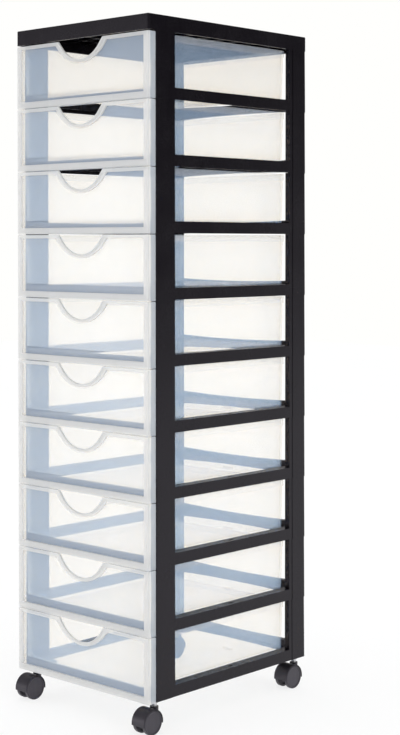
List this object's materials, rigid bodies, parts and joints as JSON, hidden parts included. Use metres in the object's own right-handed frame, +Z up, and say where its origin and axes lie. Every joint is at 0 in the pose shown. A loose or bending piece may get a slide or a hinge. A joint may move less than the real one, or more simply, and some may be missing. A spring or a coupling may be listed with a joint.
{
  "type": "drawer tower",
  "caption": "Tall narrow plastic drawer tower: a black open frame of stacked tiers, clear drawers with finger scoops, and swivel twin-wheel casters.",
  "frame": {"origin": "on the floor, under the middle of the bounding box", "axes": "+Z up, -Y out of the drawer fronts, +X to the right of someone facing the drawers"},
  "size_m": [0.29, 0.368, 1.049],
  "materials": {
    "frame_plastic": "smooth moulded plastic with a soft gloss",
    "clear_plastic": "clear plastic with a faint bluish haze",
    "caster_plastic": "satin moulded plastic",
    "wheel_plastic": "satin moulded plastic, worn on the tread",
    "socket_plastic": "plain moulded plastic",
    "plated_steel": "zinc-plated steel"
  },
  "bodies": {
    "frame": {"top_panel": "frame_plastic", "tier_frame_01": "frame_plastic", "tier_frame_02": "frame_plastic", "tier_frame_03": "frame_plastic", "tier_frame_04": "frame_plastic", "tier_frame_05": "frame_plastic", "tier_frame_06": "frame_plastic", "tier_frame_07": "frame_plastic", "tier_frame_08": "frame_plastic", "tier_frame_09": "frame_plastic", "tier_frame_10": "frame_plastic", "caster_front_left_socket": "socket_plastic", "caster_front_right_socket": "socket_plastic", "caster_rear_left_socket": "socket_plastic", "caster_rear_right_socket": "socket_plastic"},
    "drawer_01": {"drawer_01": "clear_plastic"},
    "drawer_02": {"drawer_02": "clear_plastic"},
    "drawer_03": {"drawer_03": "clear_plastic"},
    "drawer_04": {"drawer_04": "clear_plastic"},
    "drawer_05": {"drawer_05": "clear_plastic"},
    "drawer_06": {"drawer_06": "clear_plastic"},
    "drawer_07": {"drawer_07": "clear_plastic"},
    "drawer_08": {"drawer_08": "clear_plastic"},
    "drawer_09": {"drawer_09": "clear_plastic"},
    "drawer_10": {"drawer_10": "clear_plastic"},
    "caster_front_left": {"caster_front_left_housing": "caster_plastic", "caster_front_left_stem": "plated_steel", "caster_front_left_axle": "plated_steel"},
    "caster_front_left_left_wheel": {"caster_front_left_left_wheel": "wheel_plastic"},
    "caster_front_left_right_wheel": {"caster_front_left_right_wheel": "wheel_plastic"},
    "caster_front_right": {"caster_front_right_housing": "caster_plastic", "caster_front_right_stem": "plated_steel", "caster_front_right_axle": "plated_steel"},
    "caster_front_right_left_wheel": {"caster_front_right_left_wheel": "wheel_plastic"},
    "caster_front_right_right_wheel": {"caster_front_right_right_wheel": "wheel_plastic"},
    "caster_rear_left": {"caster_rear_left_housing": "caster_plastic", "caster_rear_left_stem": "plated_steel", "caster_rear_left_axle": "plated_steel"},
    "caster_rear_left_left_wheel": {"caster_rear_left_left_wheel": "wheel_plastic"},
    "caster_rear_left_right_wheel": {"caster_rear_left_right_wheel": "wheel_plastic"},
    "caster_rear_right": {"caster_rear_right_housing": "caster_plastic", "caster_rear_right_stem": "plated_steel", "caster_rear_right_axle": "plated_steel"},
    "caster_rear_right_left_wheel": {"caster_rear_right_left_wheel": "wheel_plastic"},
    "caster_rear_right_right_wheel": {"caster_rear_right_right_wheel": "wheel_plastic"}
  },
  "joints": [
    {"name": "drawer_01_slide", "type": "slide", "parent": "frame", "child": "drawer_01", "axis": [0, -1, 0], "range_m": [0, 0.241]},
    {"name": "drawer_02_slide", "type": "slide", "parent": "frame", "child": "drawer_02", "axis": [0, -1, 0], "range_m": [0, 0.241]},
    {"name": "drawer_03_slide", "type": "slide", "parent": "frame", "child": "drawer_03", "axis": [0, -1, 0], "range_m": [0, 0.241]},
    {"name": "drawer_04_slide", "type": "slide", "parent": "frame", "child": "drawer_04", "axis": [0, -1, 0], "range_m": [0, 0.241]},
    {"name": "drawer_05_slide", "type": "slide", "parent": "frame", "child": "drawer_05", "axis": [0, -1, 0], "range_m": [0, 0.241]},
    {"name": "drawer_06_slide", "type": "slide", "parent": "frame", "child": "drawer_06", "axis": [0, -1, 0], "range_m": [0, 0.241]},
    {"name": "drawer_07_slide", "type": "slide", "parent": "frame", "child": "drawer_07", "axis": [0, -1, 0], "range_m": [0, 0.241]},
    {"name": "drawer_08_slide", "type": "slide", "parent": "frame", "child": "drawer_08", "axis": [0, -1, 0], "range_m": [0, 0.241]},
    {"name": "drawer_09_slide", "type": "slide", "parent": "frame", "child": "drawer_09", "axis": [0, -1, 0], "range_m": [0, 0.241]},
    {"name": "drawer_10_slide", "type": "slide", "parent": "frame", "child": "drawer_10", "axis": [0, -1, 0], "range_m": [0, 0.241]},
    {"name": "caster_front_left_swivel", "type": "hinge", "parent": "frame", "child": "caster_front_left", "pos_m": [-0.13, -0.14995, 0.048], "axis": [0, 0, 1], "continuous": true},
    {"name": "caster_front_left_left_wheel_spin", "type": "hinge", "parent": "caster_front_left", "child": "caster_front_left_left_wheel", "pos_m": [-0.13, -0.16395, 0.018], "axis": [1, 0, 0], "continuous": true},
    {"name": "caster_front_left_right_wheel_spin", "type": "hinge", "parent": "caster_front_left", "child": "caster_front_left_right_wheel", "pos_m": [-0.13, -0.16395, 0.018], "axis": [1, 0, 0], "continuous": true},
    {"name": "caster_front_right_swivel", "type": "hinge", "parent": "frame", "child": "caster_front_right", "pos_m": [0.13, -0.14995, 0.048], "axis": [0, 0, 1], "continuous": true},
    {"name": "caster_front_right_left_wheel_spin", "type": "hinge", "parent": "caster_front_right", "child": "caster_front_right_left_wheel", "pos_m": [0.13, -0.16395, 0.018], "axis": [1, 0, 0], "continuous": true},
    {"name": "caster_front_right_right_wheel_spin", "type": "hinge", "parent": "caster_front_right", "child": "caster_front_right_right_wheel", "pos_m": [0.13, -0.16395, 0.018], "axis": [1, 0, 0], "continuous": true},
    {"name": "caster_rear_left_swivel", "type": "hinge", "parent": "frame", "child": "caster_rear_left", "pos_m": [-0.13, 0.17305, 0.048], "axis": [0, 0, 1], "continuous": true},
    {"name": "caster_rear_left_left_wheel_spin", "type": "hinge", "parent": "caster_rear_left", "child": "caster_rear_left_left_wheel", "pos_m": [-0.13, 0.15905, 0.018], "axis": [1, 0, 0], "continuous": true},
    {"name": "caster_rear_left_right_wheel_spin", "type": "hinge", "parent": "caster_rear_left", "child": "caster_rear_left_right_wheel", "pos_m": [-0.13, 0.15905, 0.018], "axis": [1, 0, 0], "continuous": true},
    {"name": "caster_rear_right_swivel", "type": "hinge", "parent": "frame", "child": "caster_rear_right", "pos_m": [0.13, 0.17305, 0.048], "axis": [0, 0, 1], "continuous": true},
    {"name": "caster_rear_right_left_wheel_spin", "type": "hinge", "parent": "caster_rear_right", "child": "caster_rear_right_left_wheel", "pos_m": [0.13, 0.15905, 0.018], "axis": [1, 0, 0], "continuous": true},
    {"name": "caster_rear_right_right_wheel_spin", "type": "hinge", "parent": "caster_rear_right", "child": "caster_rear_right_right_wheel", "pos_m": [0.13, 0.15905, 0.018], "axis": [1, 0, 0], "continuous": true}
  ]
}
